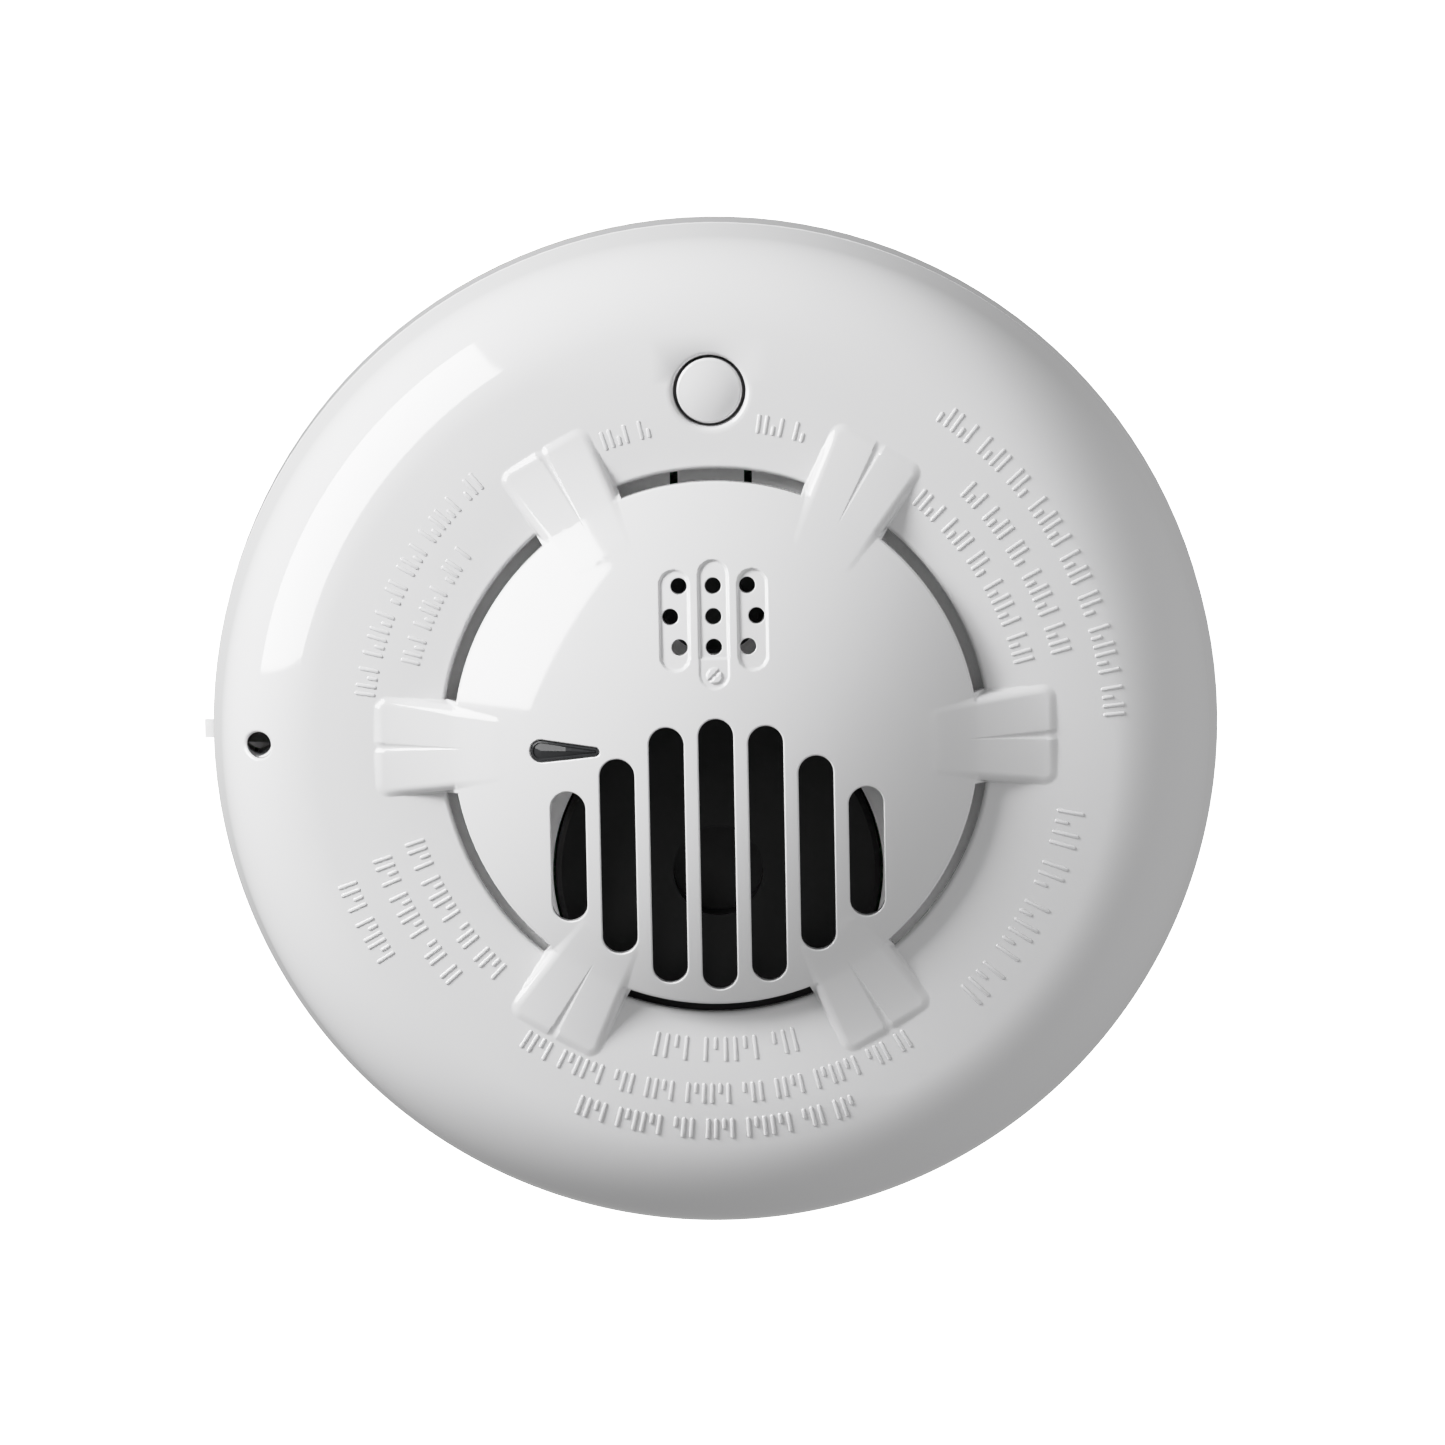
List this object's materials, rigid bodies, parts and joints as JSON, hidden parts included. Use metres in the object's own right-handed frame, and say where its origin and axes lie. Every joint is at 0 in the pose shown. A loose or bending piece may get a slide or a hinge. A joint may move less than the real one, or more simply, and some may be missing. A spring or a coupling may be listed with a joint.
{
  "type": "smoke detector",
  "caption": "Round white ceiling alarm in the smoke detector form: twist-off sensing head with a slotted dome, radial arms and test button on a mounting base.",
  "frame": {"origin": "centre of the mounting base's back face, on the axis of the round case", "axes": "+Z out of the wall or ceiling through the dome, +Y to the test button at 12 o'clock, +X to 3 o'clock; the release tab is at -X"},
  "size_m": [0.1433, 0.142, 0.0463],
  "materials": {
    "white_case": "satin gloss moulded white ABS",
    "white_inner": "moulded white plastic",
    "black_plastic": "moulded black plastic",
    "capacitor_sleeve": "printed sleeve",
    "relay_case": "blue relay case",
    "ferrite": "ferrite and wound wire",
    "board_laminate": "green solder mask",
    "smoked_lens": "smoky clear acrylic",
    "lamp_resin": "clear resin",
    "brass": "bright brass strip",
    "steel": "zinc plated steel",
    "filter_felt": "black filter disc",
    "switch_plunger": "switch plunger"
  },
  "bodies": {
    "base": {"mounting_base": "white_case", "lock_pivot_pin": "steel", "lock_spring": "steel", "terminal_screws": "steel", "terminal_clamps": "steel", "terminal_contact_1": "brass", "terminal_contact_2": "brass", "terminal_contact_3": "brass", "terminal_contact_4": "brass"},
    "head": {"board_screws": "steel", "button_spring": "steel", "circuit_board": "board_laminate", "cover_screws": "steel", "front_cover": "white_case", "gas_sensor_can": "steel", "gas_sensor_cap": "black_plastic", "head_contact_1": "brass", "head_contact_2": "brass", "head_contact_3": "brass", "head_contact_4": "brass", "horn_base": "black_plastic", "horn_coil": "ferrite", "horn_housing": "black_plastic", "horn_pins": "brass", "inner_deck": "white_inner", "light_pipe": "smoked_lens", "microcontroller": "black_plastic", "piezo_disc": "black_plastic", "power_capacitors": "capacitor_sleeve", "rear_housing": "white_case", "relay": "relay_case", "sensor_filter": "filter_felt", "status_led": "lamp_resin", "switch_body": "black_plastic"},
    "lock": {"lock_arm": "white_inner"},
    "button": {"test_button": "white_case"},
    "plunger": {"switch_plunger": "switch_plunger"}
  },
  "joints": [
    {"name": "head_twist", "type": "hinge", "parent": "base", "child": "head", "pos_m": [0, 0, 0.006], "axis": [0, 0, 1], "range_deg": [0, 16]},
    {"name": "button_press", "type": "slide", "parent": "head", "child": "button", "axis": [0, 0, -1], "range_m": [0, 0.0008], "stiffness_N_per_m": 400, "springref_m": -0.002, "deforming": ["button_spring"]},
    {"name": "switch_travel", "type": "slide", "parent": "head", "child": "plunger", "axis": [0, 0, -1], "range_m": [0, 0.0008]},
    {"name": "lock_release", "type": "hinge", "parent": "base", "child": "lock", "pos_m": [-0.057, 0, 0.0046], "axis": [0, -1, 0], "range_deg": [0, 10], "stiffness_Nm_per_rad": 0.02, "springref_deg": -17.19, "deforming": ["lock_spring"]}
  ],
  "couplings": [
    {"joint": "switch_travel", "follows": "button_press", "ratio": 1}
  ]
}
